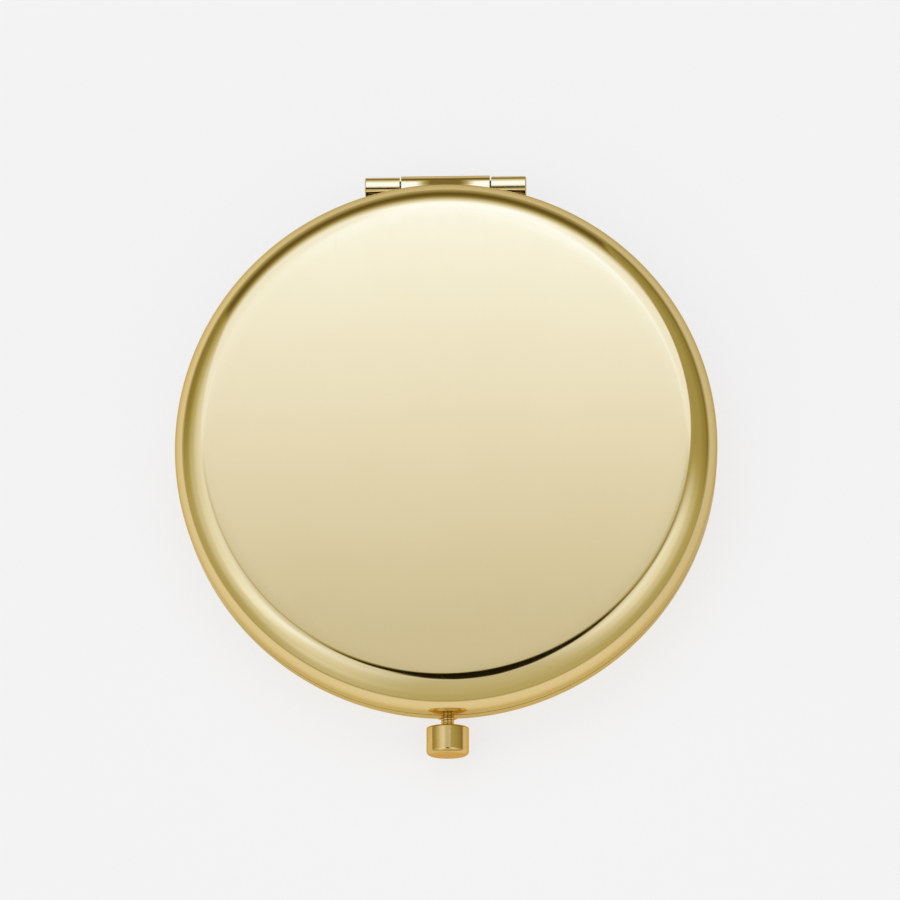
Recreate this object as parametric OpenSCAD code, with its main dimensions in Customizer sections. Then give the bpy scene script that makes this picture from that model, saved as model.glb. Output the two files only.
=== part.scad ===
// Round push-button compact mirror, closed, lying on its base.
// +Z is up, +Y points to the hinge and -Y to the button. The origin is the centre of the base's flat underside.

/* [Case] */
// Outside diameter of the case
case_d = 70; // [64:0.5:80]
// Height of the closed case
case_h = 12.6; // [12.2:0.1:15]
// Radius of the round shoulder between face and wall
shoulder_r = 4.2; // [3.6:0.1:4.6]
// Thickness of the drawn sheet of both shells
sheet_t = 0.5; // [0.4:0.05:0.6]
// Gap between the rims of the closed shells
seam_gap = 0.12; // [0.06:0.02:0.3]
// Width of the bevel on the outer edge of each rim
rim_bevel = 0.12; // [0.06:0.01:0.2]

/* [Inner trays] */
// Thickness of the sheet of both trays
tray_t = 0.4; // [0.3:0.05:0.5]
// Length of the skirt that is pressed into the shell
skirt_h = 0.9; // [0.7:0.05:1.1]
// Bend radius of the trays, on their outer side
tray_bend_r = 0.7; // [0.6:0.05:0.9]
// Gap between a tray's skirt and its shell
press_gap = 0.03; // [0.02:0.01:0.06]

/* [Mirrors] */
// Diameter of both mirrors
mirror_d = 59; // [50:0.5:59.5]
// Thickness of the glass at its edge
mirror_t = 1.8; // [1.3:0.1:2]
// Width of the ground edge of the glass
mirror_bevel = 0.35; // [0.2:0.05:0.5]
// Depth of the glass below the tray's ring
mirror_recess = 0.45; // [0.3:0.05:0.6]
// Gap between the glass and the tray's wall
mirror_play = 0.3; // [0.1:0.05:0.5]
// Radius of the hollow face of the magnifying mirror
magnifier_r = 600; // [450:10:1200]
// Thickness of the foam pads behind the mirrors
pad_t = 0.5; // [0.3:0.05:0.6]

/* [Hinge] */
// Distance of the hinge axis outside the case wall
hinge_out = 0.5; // [0.4:0.05:0.8]
// Length over all three knuckles
hinge_len = 21.1; // [18:0.1:24]
// Length of the middle knuckle
middle_len = 11.6; // [9:0.1:13]
// Gap between neighbouring knuckles
knuckle_gap = 0.2; // [0.1:0.02:0.3]
// Length of both leaves from the hinge axis inwards
leaf_len = 5.5; // [5:0.1:6]
// Diameter of the hinge pin
pin_d = 1.5; // [1.3:0.05:1.6]
// Thickness of the lid's hinge leaf
lid_leaf_t = 0.6; // [0.5:0.02:0.65]
// Thickness of the base's hinge leaf
base_leaf_t = 0.5; // [0.4:0.02:0.55]
// Diameter of the rivets' shanks
rivet_d = 1.2; // [0.9:0.05:1.3]

/* [Button] */
// Diameter of the button cap
cap_d = 5.45; // [4.6:0.05:5.8]
// Length of the button cap
cap_len = 3.75; // [3:0.05:4.5]
// Gap between the cap and the wall, out of which the travel comes
cap_gap = 1.1; // [0.9:0.05:1.2]
// Radius of the cap's outer edge
cap_edge_r = 0.55; // [0.3:0.05:0.8]
// Height of the button's axis above the table
button_z = 3.5; // [3.4:0.05:3.7]
// Diameter of the stem
stem_d = 1.7; // [1.4:0.05:1.8]

/* [Latch] */
// Thickness of the latch spring
spring_t = 0.2; // [0.15:0.01:0.25]
// Half of the angle that the latch spring spans along the wall, in degrees
spring_half_angle = 20; // [18:0.5:23]
// Width of the latch hook
hook_w = 3; // [2.4:0.1:3.6]
// Overlap of the hook's tooth over the edge of the lid's slot
hook_bite = 0.4; // [0.25:0.05:0.5]

/* [Hidden] */

// Cuts run past the surface that they open by this much
overrun = 1;
// Fixed pieces that lie against a curved wall or a nut keep this much apart
seat_gap = 0.05;
// Play around the turning hinge barrel
running_gap = 0.15;
// Radial play of the pin, tight in the base's knuckles and running in the lid's
pin_tight_gap = 0.01;
pin_running_gap = 0.05;

// Facets of the big rings, of small round pieces and of the arcs in a section
round_fn = 180;
small_fn = 48;
arc_fn = 96;
magnifier_steps = 12;

case_r = case_d / 2;
shell_in_r = case_r - sheet_t;
seam_z = case_h / 2;
rim_z = seam_z - seam_gap / 2;

// Knuckles
pin_r = pin_d / 2;
middle_bore_r = pin_r + pin_running_gap;
side_bore_r = pin_r + pin_tight_gap;
middle_r = middle_bore_r + lid_leaf_t;
side_r = side_bore_r + base_leaf_t;
side_x0 = middle_len / 2 + knuckle_gap;
side_len = hinge_len / 2 - side_x0;
knuckle_edge_r = 0.2;
curl_slit = 0.15;
hinge_y = case_r + hinge_out;
hinge_room_r = middle_r + running_gap;
hinge_room_w = hinge_len + 2 * running_gap;

// Trays, in the base's position: the ring lies on the hinge leaf
ring_z0 = seam_z - side_bore_r;
ring_z1 = ring_z0 + tray_t;
skirt_r = shell_in_r - press_gap;
skirt_in_r = skirt_r - tray_t;
skirt_z0 = ring_z1 - skirt_h;
mirror_r = mirror_d / 2;
pan_r = mirror_r + mirror_play;
pan_out_r = pan_r + tray_t;
pan_edge_r = 0.2;
// The opening for the leaves starts just inside the skirt
notch_y0 = sqrt(pow(skirt_in_r, 2) - pow(hinge_room_w / 2, 2)) - seat_gap;
mirror_z1 = ring_z1 - mirror_recess;
mirror_z0 = mirror_z1 - mirror_t;
pan_z1 = mirror_z0 - pad_t;
pan_z0 = pan_z1 - tray_t;
// The pad ends this far inside the edge of the glass
pad_inset = 1.5;

// The leaves stay this far from the trays' walls, and end there or at their own length
leaf_pan_gap = 0.5;
leaf_in_r = max(pan_out_r + leaf_pan_gap, hinge_y - leaf_len);

// Rivets through ring and leaf, flush with the rim
rivet_gap = 0.03;
rivet_head_r = 0.95 * rivet_d;
rivet_head_h = rim_z - ring_z1;
rivet_ring_share = 0.547;
lid_rivet_x_share = 0.3;
base_rivet_x_share = 0.36;
rivet_place_r = leaf_in_r + rivet_ring_share * (skirt_r - leaf_in_r);

// Button, measured outwards from the case axis
stem_r = stem_d / 2;
stem_gap = 0.07;
thread_gap = 0.02;
bush_wall = 0.42;
bush_r = stem_r + stem_gap + bush_wall;
bush_len = 1;
bush_out_y = case_r - sheet_t / 5;
bush_in_y = bush_out_y - bush_len;
nut_t = 0.7;
nut_flats = 2.6;
nut_out_y = bush_in_y - 2 * seat_gap;
nut_in_y = nut_out_y - nut_t;
spring_out_y = nut_in_y - seat_gap;
spring_in_y = spring_out_y - spring_t;
head_r = 1.35;
head_t = 0.5;
head_in_y = spring_in_y - seat_gap - head_t;
driver_slot_w = 0.35;
driver_slot_share = 0.45;
cap_in_y = case_r + cap_gap;
cap_r = cap_d / 2;
cap_bore_share = 0.7;
cap_dome_r = 17;
cap_chamfer = 0.18;
pip_r = 0.16;
pip_h = 0.06;
// The cap stops just short of the wall
cap_stop_gap = 0.05;
press_travel = cap_gap - cap_stop_gap;

// Latch spring, between the shell's shoulder and the tray's skirt
spring_z1 = skirt_z0 - seat_gap;
spring_mid_z0 = button_z - 1.4 * stem_r;
spring_end_h = 0.99;
spring_end_z0 = spring_z1 - spring_end_h;
spring_mid_r = spring_in_y + spring_t / 2;
// The welded ends follow the wall's inside at their lower edge, which may lie in the round shoulder
spring_end_drop = max(0, shoulder_r - spring_end_z0);
spring_wall_r = case_r - shoulder_r + sqrt(pow(shoulder_r - sheet_t, 2) - pow(spring_end_drop, 2));
spring_end_r = spring_wall_r - seat_gap - spring_t / 2;
spring_half_w = case_r * sin(spring_half_angle);
spring_steps = 40;
// Shares of the half angle: flat to the first, then out to the wall by the second
spring_bend_shares = [0.24, 0.74];
// Shares of the half width: full height to the first, lowered to the ends' height by the second
spring_taper_shares = [0.3, 0.68];

// Hook, and the slots that it passes
hook_gap = 0.08;
hook_nose_h = 0.25;
hook_h = 0.7;
hook_z0 = case_h - ring_z0 + hook_gap;
slot_edge_gap = 0.2;
slot_w = hook_w + 2 * slot_edge_gap;
slot_in_y = spring_in_y - press_travel - slot_edge_gap;
slot_out_y = spring_out_y + slot_edge_gap;
hook_tip_y = slot_out_y + hook_bite;

// Turns a piece of the base over into the same place in the lid
module in_lid() {
    translate([0, 0, case_h])
        mirror([0, 0, 1])
            children();
}

// A solid of revolution about the button's axis, its section's height running outwards
module turned_outwards(from_y) {
    translate([0, -from_y, button_z])
        rotate([90, 0, 0])
            rotate_extrude($fn = small_fn)
                children();
}

// Section of a solid round cup: radius r, height h, corner radius c at the closed end
module cup_section(r, c, h) {
    square([r - c, h]);
    translate([0, c])
        square([r, h - c]);
    intersection() {
        translate([r - c, c])
            circle(c, $fn = arc_fn);
        square([r, h]);
    }
}

// The same cup with its closed end up
module lid_section(r, c, h) {
    mirror([0, 1])
        cup_section(r, c, h);
}

// What rounds a corner at the origin, with the material towards +X and +Y
module corner_cut(c) {
    difference() {
        translate([-overrun, -overrun])
            square(c + overrun);
        translate([c, c])
            circle(c, $fn = arc_fn);
    }
}

// What bevels a section's outer corner at [r, z]
module bevel_cut(r, z, w) {
    translate([r, z])
        rotate(45)
            square(sqrt(2) * w, center = true);
}

// Room for the turning hinge barrel
module barrel_room() {
    translate([-hinge_room_w / 2, hinge_y, seam_z])
        rotate([0, 90, 0])
            cylinder(r = hinge_room_r, h = hinge_room_w, $fn = small_fn);
}

// Opening for the hinge leaves, from height z0 to z1
module leaf_notch(z0, z1) {
    translate([-hinge_room_w / 2, notch_y0, z0])
        cube([hinge_room_w, case_r, z1 - z0]);
}

// Places a child at both rivets of a row at distance x from the middle
module at_rivets(x) {
    for (side = [-1, 1])
        translate([side * x, sqrt(pow(rivet_place_r, 2) - x * x), 0])
            children();
}

module rivet_holes(x, z0, z1) {
    at_rivets(x)
        translate([0, 0, z0])
            cylinder(d = rivet_d + 2 * rivet_gap, h = z1 - z0, $fn = small_fn);
}

// Rivet through the ring and a leaf whose far face lies at height leaf_z0
module rivets(x, leaf_z0) {
    at_rivets(x)
        rotate_extrude($fn = small_fn) {
            translate([0, leaf_z0])
                square([rivet_d / 2, ring_z1 - leaf_z0]);
            translate([0, ring_z1 + rivet_head_h])
                lid_section(rivet_head_r, 0.9 * rivet_head_h, rivet_head_h);
            translate([0, leaf_z0 - rivet_head_h])
                cup_section(rivet_head_r, 0.9 * rivet_head_h, rivet_head_h);
        }
}

// Drawn half case: flat face, round shoulder, straight wall and a bevelled rim
module half_shell() {
    difference() {
        rotate_extrude($fn = round_fn)
            difference() {
                cup_section(case_r, shoulder_r, rim_z);
                translate([0, sheet_t])
                    cup_section(shell_in_r, shoulder_r - sheet_t, rim_z);
                bevel_cut(case_r, rim_z, rim_bevel);
            }
        leaf_notch(seam_z - hinge_room_r, case_h);
    }
}

// Drawn inner tray: a pan for the mirror, a flat ring and a skirt turned down against the shell.
// Its ring has the slot for the latch hook out to slot_y, and the rivet holes at distance rivet_x.
module half_tray(slot_y, rivet_x) {
    difference() {
        rotate_extrude($fn = round_fn)
            difference() {
                union() {
                    difference() {
                        translate([0, ring_z1])
                            lid_section(skirt_r, tray_bend_r, skirt_h);
                        translate([0, ring_z0])
                            lid_section(skirt_in_r, tray_bend_r - tray_t, skirt_h);
                    }
                    translate([0, pan_z0])
                        cup_section(pan_out_r, tray_bend_r, ring_z1 - pan_z0);
                }
                translate([0, pan_z1])
                    cup_section(pan_r, tray_bend_r - tray_t, case_h);
                translate([pan_r, ring_z1])
                    mirror([0, 1])
                        corner_cut(pan_edge_r);
            }
        barrel_room();
        leaf_notch(pan_z0, ring_z0);
        translate([-slot_w / 2, -slot_y, skirt_z0])
            cube([slot_w, slot_y - slot_in_y, case_h]);
        rivet_holes(rivet_x, ring_z0 - overrun, case_h);
    }
}

// Round glass with a ground front edge
module glass_section() {
    difference() {
        translate([0, mirror_z0])
            square([mirror_r, mirror_t]);
        bevel_cut(mirror_r, mirror_z1, mirror_bevel);
    }
}

module pad() {
    translate([0, 0, pan_z1])
        cylinder(r = mirror_r - pad_inset, h = pad_t, $fn = round_fn);
}

// Rolled knuckle from x0 to x0 + len, its edges rounded at the left and right ends as asked
module knuckle(x0, len, r, bore_r, edge_left, edge_right) {
    translate([x0, hinge_y, seam_z])
        rotate([0, 90, 0])
            rotate_extrude($fn = small_fn)
                difference() {
                    translate([bore_r, 0])
                        square([r - bore_r, len]);
                    if (edge_left)
                        translate([r, 0])
                            mirror([1, 0])
                                corner_cut(knuckle_edge_r);
                    if (edge_right)
                        translate([r, len])
                            rotate(180)
                                corner_cut(knuckle_edge_r);
                }
}

// Slit where the rolled edge comes back to its leaf
module curl_gap(bore_r, r) {
    translate([-hinge_len, hinge_y - r - overrun, seam_z - bore_r])
        cube([2 * hinge_len, r + overrun - bore_r / 3, curl_slit]);
}

// Flat part of a leaf between the pan and the hinge axis, from x0 over a width w
module leaf_plan(x0, w) {
    difference() {
        translate([x0, hinge_y - leaf_len])
            square([w, leaf_len]);
        circle(pan_out_r + leaf_pan_gap, $fn = round_fn);
    }
}

module base_shell() {
    color("gold")
        difference() {
            half_shell();
            turned_outwards(shell_in_r - overrun)
                square([bush_r + thread_gap, sheet_t + 2 * overrun]);
        }
}

module base_tray() {
    color("goldenrod")
        difference() {
            half_tray(hook_tip_y + slot_edge_gap, base_rivet_x_share * hinge_len);
            turned_outwards(bush_in_y - overrun)
                square([bush_r + seat_gap, bush_len + 2 * overrun]);
        }
}

module base_mirror_pad() {
    color("dimgray")
        pad();
}

// Depth of the hollow face at radius r, below the edge of the face
function hollow_depth(r, face_r) = sqrt(pow(magnifier_r, 2) - r * r) - sqrt(pow(magnifier_r, 2) - pow(face_r, 2));

module base_mirror() {
    face_r = mirror_r - mirror_bevel;
    rings = [for (i = [0:magnifier_steps]) face_r * i / magnifier_steps];
    color("lightblue")
        rotate_extrude($fn = round_fn)
            difference() {
                glass_section();
                polygon(concat([[0, mirror_z1]], [for (r = rings) [r, mirror_z1 - hollow_depth(r, face_r)]]));
            }
}

module base_hinge_leaf() {
    plate_z0 = seam_z - side_r;
    color("darkgoldenrod")
        difference() {
            union() {
                knuckle(side_x0, side_len, side_r, side_bore_r, false, true);
                knuckle(-side_x0 - side_len, side_len, side_r, side_bore_r, true, false);
                translate([0, 0, plate_z0])
                    linear_extrude(base_leaf_t)
                        difference() {
                            leaf_plan(-hinge_len / 2, hinge_len);
                            translate([-side_x0, hinge_y - hinge_room_r])
                                square([2 * side_x0, hinge_room_r + overrun]);
                        }
            }
            curl_gap(side_bore_r, side_r);
            rivet_holes(base_rivet_x_share * hinge_len, plate_z0 - overrun, case_h);
        }
}

module base_leaf_rivets() {
    color("orange")
        rivets(base_rivet_x_share * hinge_len, seam_z - side_r);
}

module hinge_pin() {
    color("silver")
        translate([-hinge_len / 2, hinge_y, seam_z])
            rotate([0, 90, 0])
                cylinder(r = pin_r, h = hinge_len, $fn = small_fn);
}

module stem_bush() {
    color("peru")
        turned_outwards(bush_in_y)
            translate([stem_r + stem_gap, 0])
                square([bush_wall, bush_len]);
}

// Point of the latch spring's plan at angle a from the middle, offset outwards by off
function spring_bend(a) =
    let (
        a0 = spring_bend_shares[0] * spring_half_angle,
        a1 = spring_bend_shares[1] * spring_half_angle,
        s = min(1, max(0, (abs(a) - a0) / (a1 - a0)))
    )
    s * s * (3 - 2 * s);
function spring_point(a, off) =
    let (
        s = spring_bend(a),
        r = (1 - s) * spring_mid_r / cos(a) + s * spring_end_r
    )
    [r * sin(a) + off * s * sin(a), -r * cos(a) - off * (s * cos(a) + 1 - s)];

// Bowed strip whose ends are welded inside the wall, with the hook bent up from its middle
module latch_spring() {
    angles = [for (i = [-spring_steps:spring_steps]) spring_half_angle * i / spring_steps];
    back = [for (i = [2 * spring_steps:-1:0]) spring_point(angles[i], -spring_t / 2)];
    taper = spring_taper_shares * spring_half_w;
    color("silver")
        difference() {
            union() {
                intersection() {
                    translate([0, 0, spring_mid_z0])
                        linear_extrude(spring_z1 - spring_mid_z0)
                            polygon(concat([for (a = angles) spring_point(a, spring_t / 2)], back));
                    rotate([90, 0, 0])
                        linear_extrude(case_r)
                            polygon([
                                [-spring_half_w, spring_z1],
                                [-spring_half_w, spring_end_z0],
                                [-taper[1], spring_end_z0],
                                [-taper[0], spring_mid_z0],
                                [taper[0], spring_mid_z0],
                                [taper[1], spring_end_z0],
                                [spring_half_w, spring_end_z0],
                                [spring_half_w, spring_z1]
                            ]);
                }
                rotate([90, 0, -90])
                    linear_extrude(hook_w, center = true)
                        polygon([
                            [spring_in_y, spring_z1 - spring_t],
                            [spring_out_y, spring_z1 - spring_t],
                            [spring_out_y, hook_z0],
                            [hook_tip_y, hook_z0],
                            [hook_tip_y, hook_z0 + hook_nose_h],
                            [spring_out_y, hook_z0 + hook_h],
                            [spring_in_y, hook_z0 + hook_h]
                        ]);
            }
            turned_outwards(head_in_y)
                square([stem_r + stem_gap, nut_out_y - head_in_y]);
        }
}

module button_cap() {
    color("gold")
        turned_outwards(cap_in_y) {
            difference() {
                intersection() {
                    translate([0, cap_len])
                        lid_section(cap_r, cap_edge_r, cap_len);
                    translate([0, cap_len - cap_dome_r])
                        circle(cap_dome_r, $fn = 4 * arc_fn);
                    square([cap_r, cap_len]);
                }
                square([stem_r + thread_gap, cap_bore_share * cap_len]);
                translate([cap_r, 0])
                    mirror([1, 0])
                        corner_cut(cap_chamfer);
            }
            translate([0, cap_len - pip_h])
                square([pip_r, 2 * pip_h]);
        }
}

module button_stem() {
    stem_out_y = cap_in_y + cap_bore_share * cap_len - thread_gap;
    color("peru")
        difference() {
            turned_outwards(head_in_y) {
                cup_section(head_r, head_t / 4, head_t);
                square([stem_r, stem_out_y - head_in_y]);
            }
            translate([-head_r - overrun, -head_in_y - driver_slot_share * head_t, button_z - driver_slot_w / 2])
                cube([2 * (head_r + overrun), head_t, driver_slot_w]);
        }
}

module stem_nut() {
    color("peru")
        translate([0, -nut_in_y, button_z])
            rotate([90, 0, 0])
                linear_extrude(nut_t)
                    difference() {
                        circle(d = nut_flats / cos(30), $fn = 6);
                        circle(stem_r + thread_gap, $fn = small_fn);
                    }
}

module lid_shell() {
    color("gold")
        in_lid()
            half_shell();
}

module lid_tray() {
    color("goldenrod")
        in_lid()
            half_tray(slot_out_y, lid_rivet_x_share * middle_len);
}

module lid_mirror_pad() {
    color("dimgray")
        in_lid()
            pad();
}

module lid_mirror() {
    color("lightblue")
        in_lid()
            rotate_extrude($fn = round_fn)
                glass_section();
}

module lid_hinge_leaf() {
    plate_z0 = seam_z - middle_r;
    color("darkgoldenrod")
        in_lid()
            difference() {
                union() {
                    knuckle(-middle_len / 2, middle_len, middle_r, middle_bore_r, false, false);
                    translate([0, 0, plate_z0])
                        linear_extrude(lid_leaf_t)
                            leaf_plan(-middle_len / 2, middle_len);
                }
                curl_gap(middle_bore_r, middle_r);
                rivet_holes(lid_rivet_x_share * middle_len, plate_z0 - overrun, case_h);
            }
}

module lid_leaf_rivets() {
    color("orange")
        in_lid()
            rivets(lid_rivet_x_share * middle_len, seam_z - middle_r);
}

base_shell();
base_tray();
base_mirror_pad();
base_mirror();
base_hinge_leaf();
base_leaf_rivets();
hinge_pin();
stem_bush();
latch_spring();
button_cap();
button_stem();
stem_nut();
lid_shell();
lid_tray();
lid_mirror_pad();
lid_mirror();
lid_hinge_leaf();
lid_leaf_rivets();
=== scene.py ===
import logging
import math
from dataclasses import dataclass, replace
from enum import Enum
from typing import Callable

import bmesh
import bpy
import numpy as np
from mathutils import Matrix, Vector


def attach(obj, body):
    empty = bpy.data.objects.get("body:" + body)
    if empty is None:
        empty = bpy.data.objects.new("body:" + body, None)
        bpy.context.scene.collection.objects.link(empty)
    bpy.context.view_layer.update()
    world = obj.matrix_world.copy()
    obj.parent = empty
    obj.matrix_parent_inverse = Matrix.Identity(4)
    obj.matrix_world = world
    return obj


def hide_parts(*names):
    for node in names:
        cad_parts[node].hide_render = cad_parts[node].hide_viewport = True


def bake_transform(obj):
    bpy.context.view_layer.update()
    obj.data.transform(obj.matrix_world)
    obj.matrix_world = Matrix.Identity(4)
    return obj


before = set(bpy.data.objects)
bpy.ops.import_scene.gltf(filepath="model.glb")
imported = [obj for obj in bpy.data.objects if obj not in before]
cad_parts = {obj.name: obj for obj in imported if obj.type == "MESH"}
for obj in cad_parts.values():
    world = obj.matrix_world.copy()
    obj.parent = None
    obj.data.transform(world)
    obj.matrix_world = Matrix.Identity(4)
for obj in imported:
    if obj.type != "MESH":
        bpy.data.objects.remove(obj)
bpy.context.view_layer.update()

# Sizes in this file are millimetres, and MM turns them into the frame's metres
MM = 0.001
# Columns round drawn pieces, foam, cap and nut, pin and bush, holes, and rivets with their holes
RING_COLUMNS = 360
FOAM_COLUMNS = 180
FINE_COLUMNS = 144
TURNED_COLUMNS = 96
HOLE_COLUMNS = 64
RIVET_COLUMNS = 48
MERGE_DISTANCE = 1e-7
# A support point this near a rounding keeps the flat beside it evenly shaded
NEAR = 0.05

log = logging.getLogger("compact")

Points = np.ndarray
Pair = tuple[float, float]
Colour = tuple[float, float, float]
Stops = tuple[tuple[float, object], ...]
Socket = bpy.types.NodeSocket


class Side(Enum):
    """The two halves of the case."""

    BASE = "base"
    LID = "lid"


class Slot(Enum):
    """The record's material slots."""

    SHEET = "gold_plated_sheet"
    TURNED = "gold_plated_turned"
    WIRE = "steel_pin"
    SPRING = "spring_steel"
    GLASS = "mirror_glass"
    FOAM = "foam"


class Axis(Enum):
    """The lines about which pieces are turned: the case's, the button's and the hinge's."""

    CASE = "case"
    BUTTON = "button"
    HINGE = "hinge"


@dataclass(frozen=True)
class Layout:
    """Places and sizes that several pieces share, in millimetres, as the CAD source has them."""

    case_r: float = 35.0
    case_h: float = 12.6
    sheet: float = 0.5
    shoulder_r: float = 4.2
    seam_gap: float = 0.12
    hinge_y: float = 35.5
    button_z: float = 3.5
    barrel_room_r: float = 1.55
    barrel_room_half: float = 10.7
    notch_y: float = 32.3
    slot_half: float = 1.7
    slot_in_y: float = 31.6

    @property
    def seam_z(self) -> float:
        """Height of the seam between the halves."""
        return self.case_h / 2

    @property
    def rim_z(self) -> float:
        """Height of the base's rim."""
        return self.seam_z - self.seam_gap / 2


LAYOUT = Layout()


def arc(centre: Pair, radius: float, start: float, stop: float, steps: int) -> Points:
    """Points on an arc: centre plus radius times the cosine and sine of evenly spaced angles.

    Args:
        centre: middle of the arc in the section.
        radius: its radius.
        start: first angle in degrees.
        stop: last angle in degrees.
        steps: number of stretches between points.

    Returns:
        An array of steps + 1 points.
    """
    angle = np.radians(np.linspace(start, stop, steps + 1))
    return np.stack([centre[0] + radius * np.cos(angle), centre[1] + radius * np.sin(angle)], axis=1)


def outline(*runs: Points | list[Pair]) -> Points:
    """Joins runs of points into one outline, leaving out a point that repeats the one before.

    Args:
        runs: arrays or lists of points, in order.

    Returns:
        The joined outline.
    """
    whole = np.concatenate([np.asarray(run, float).reshape(-1, 2) for run in runs])
    step = np.linalg.norm(np.diff(whole, axis=0), axis=1)
    return whole[np.concatenate([[True], step > 1e-6])]


def grid_faces(rows: int, columns: int, wrap_rows: bool, wrap_columns: bool) -> Points:
    """Four-sided faces of a grid: each joins a point, its next column, and both points of the next row.

    Args:
        rows: rows of points.
        columns: points in a row.
        wrap_rows: whether the last row joins the first.
        wrap_columns: whether the last column joins the first.

    Returns:
        An array of faces with four point numbers each.
    """
    row = np.arange(rows if wrap_rows else rows - 1)[:, None]
    column = np.arange(columns if wrap_columns else columns - 1)[None, :]
    next_row, next_column = (row + 1) % rows, (column + 1) % columns
    corners = [
        row * columns + column,
        row * columns + next_column,
        next_row * columns + next_column,
        next_row * columns + column,
    ]
    return np.stack(np.broadcast_arrays(*corners), axis=-1).reshape(-1, 4)


def tube_faces(rows: int, columns: int) -> list[list[int]]:
    """Faces of a closed tube: a grid round its columns, with the first and the last row as its ends."""
    ends = [list(range(columns))[::-1], list(range((rows - 1) * columns, rows * columns))]
    return grid_faces(rows, columns, False, True).tolist() + ends


def flipped(faces: list[list[int]]) -> list[list[int]]:
    """The same faces looking the other way."""
    return [face[::-1] for face in faces]


@dataclass
class Blank:
    """A closed shape before it is cut and dressed: points in millimetres and faces that look outwards."""

    points: Points
    faces: list[list[int]]

    def turned_over(self) -> "Blank":
        """The same shape in the lid: z becomes the case's height less z, and the faces are reversed."""
        mirrored = self.points * np.array([1, 1, -1]) + np.array([0, 0, LAYOUT.case_h])
        return Blank(mirrored, flipped(self.faces))

    def to_object(self, name: str) -> bpy.types.Object:
        """Puts the shape into a mesh in metres and closes its poles by merging the points that meet there.

        Args:
            name: the object's name.

        Returns:
            The new object, linked to the scene.
        """
        mesh = bpy.data.meshes.new(name)
        mesh.from_pydata((self.points * MM).tolist(), [], self.faces)
        shape = bmesh.new()
        shape.from_mesh(mesh)
        bmesh.ops.remove_doubles(shape, verts=shape.verts, dist=MERGE_DISTANCE)
        bmesh.ops.dissolve_degenerate(shape, edges=shape.edges, dist=MERGE_DISTANCE)
        shape.to_mesh(mesh)
        shape.free()
        obj = bpy.data.objects.new(name, mesh)
        bpy.context.scene.collection.objects.link(obj)
        return obj


def turned(
    section: Points, axis: Axis = Axis.CASE, columns: int = TURNED_COLUMNS, ring: bool = False
) -> Blank:
    """A section of radius and length carried once round an axis: radius times cosine and sine of the turn.

    Args:
        section: points of radius and length, going anticlockwise round the material.
        axis: the line that the section turns about.
        columns: points round the turn.
        ring: whether the section is closed away from the axis.

    Returns:
        The solid of revolution.
    """
    turn = np.linspace(0, 2 * np.pi, columns, endpoint=False)
    across = np.outer(section[:, 0], np.cos(turn))
    along = np.outer(section[:, 0], np.sin(turn))
    length = np.repeat(section[:, 1:], columns, axis=1)
    points = {
        Axis.CASE: [across, along, length],
        Axis.BUTTON: [across, -length, along + LAYOUT.button_z],
        Axis.HINGE: [length, across + LAYOUT.hinge_y, along + LAYOUT.seam_z],
    }[axis]
    faces = grid_faces(len(section), columns, ring, True)
    return Blank(np.stack(points, axis=-1).reshape(-1, 3), faces.tolist())


def block(low: tuple[float, float, float], high: tuple[float, float, float]) -> Blank:
    """A cutter with six flat sides between two opposite corners.

    Args:
        low: lowest corner.
        high: highest corner.

    Returns:
        The cutter.
    """
    ends = np.array([low, high], float)
    index = np.array([[i, j, k] for k in (0, 1) for j in (0, 1) for i in (0, 1)])
    points = np.take_along_axis(ends, index, axis=0)
    faces = [[0, 2, 3, 1], [4, 5, 7, 6], [0, 1, 5, 4], [2, 6, 7, 3], [0, 4, 6, 2], [1, 3, 7, 5]]
    return Blank(points, faces)


def plug(radius: float, start: float, stop: float, axis: Axis, columns: int = HOLE_COLUMNS) -> Blank:
    """A round cutter of a radius about an axis, between two lengths along it."""
    return turned(np.array([(0, start), (radius, start), (radius, stop), (0, stop)]), axis, columns)


def ribbon(path: Points, normal: Points, across: Points) -> Blank:
    """A sheet strip along a path in the YZ plane: path point plus its normal times the strip's own height.

    Args:
        path: points of y and z along the strip's inner face.
        normal: unit normals at these points, towards the outer face.
        across: section of the strip, points of x and height over the inner face.

    Returns:
        The closed strip.
    """
    y = path[:, :1] + normal[:, :1] * across[None, :, 1]
    z = path[:, 1:] + normal[:, 1:] * across[None, :, 1]
    x = np.broadcast_to(across[None, :, 0], y.shape)
    return Blank(np.stack([x, y, z], axis=-1).reshape(-1, 3), tube_faces(len(path), len(across)))


def strip_section(half: float, height: float, edge: float, columns: int = 13) -> Points:
    """Section of a sheet strip: a rectangle with both upper corners rounded.

    Args:
        half: half of its width.
        height: the sheet's thickness.
        edge: radius of the upper corners.
        columns: points across the top, which lets shading change across it.

    Returns:
        Points of x and height, going anticlockwise round the material.
    """
    right = arc((half - edge, height - edge), edge, 0, 90, 4)
    left = arc((edge - half, height - edge), edge, 90, 180, 4)
    x = np.linspace(half - edge - NEAR, edge - half + NEAR, columns)
    return outline([(-half, 0), (half, 0)], right, np.stack([x, np.full_like(x, height)], axis=1), left)


def shape_edit(obj: bpy.types.Object, kind: str, **values: object) -> None:
    """Adds one modifier and makes its result the object's mesh.

    Args:
        obj: the object.
        kind: the modifier's type.
        values: its settings.
    """
    modifier = obj.modifiers.new(kind.lower(), kind)
    for key, value in values.items():
        setattr(modifier, key, value)
    evaluated = obj.evaluated_get(bpy.context.evaluated_depsgraph_get())
    mesh = bpy.data.meshes.new_from_object(evaluated)
    obj.modifiers.clear()
    mesh.name = obj.data.name
    obj.data = mesh


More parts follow.
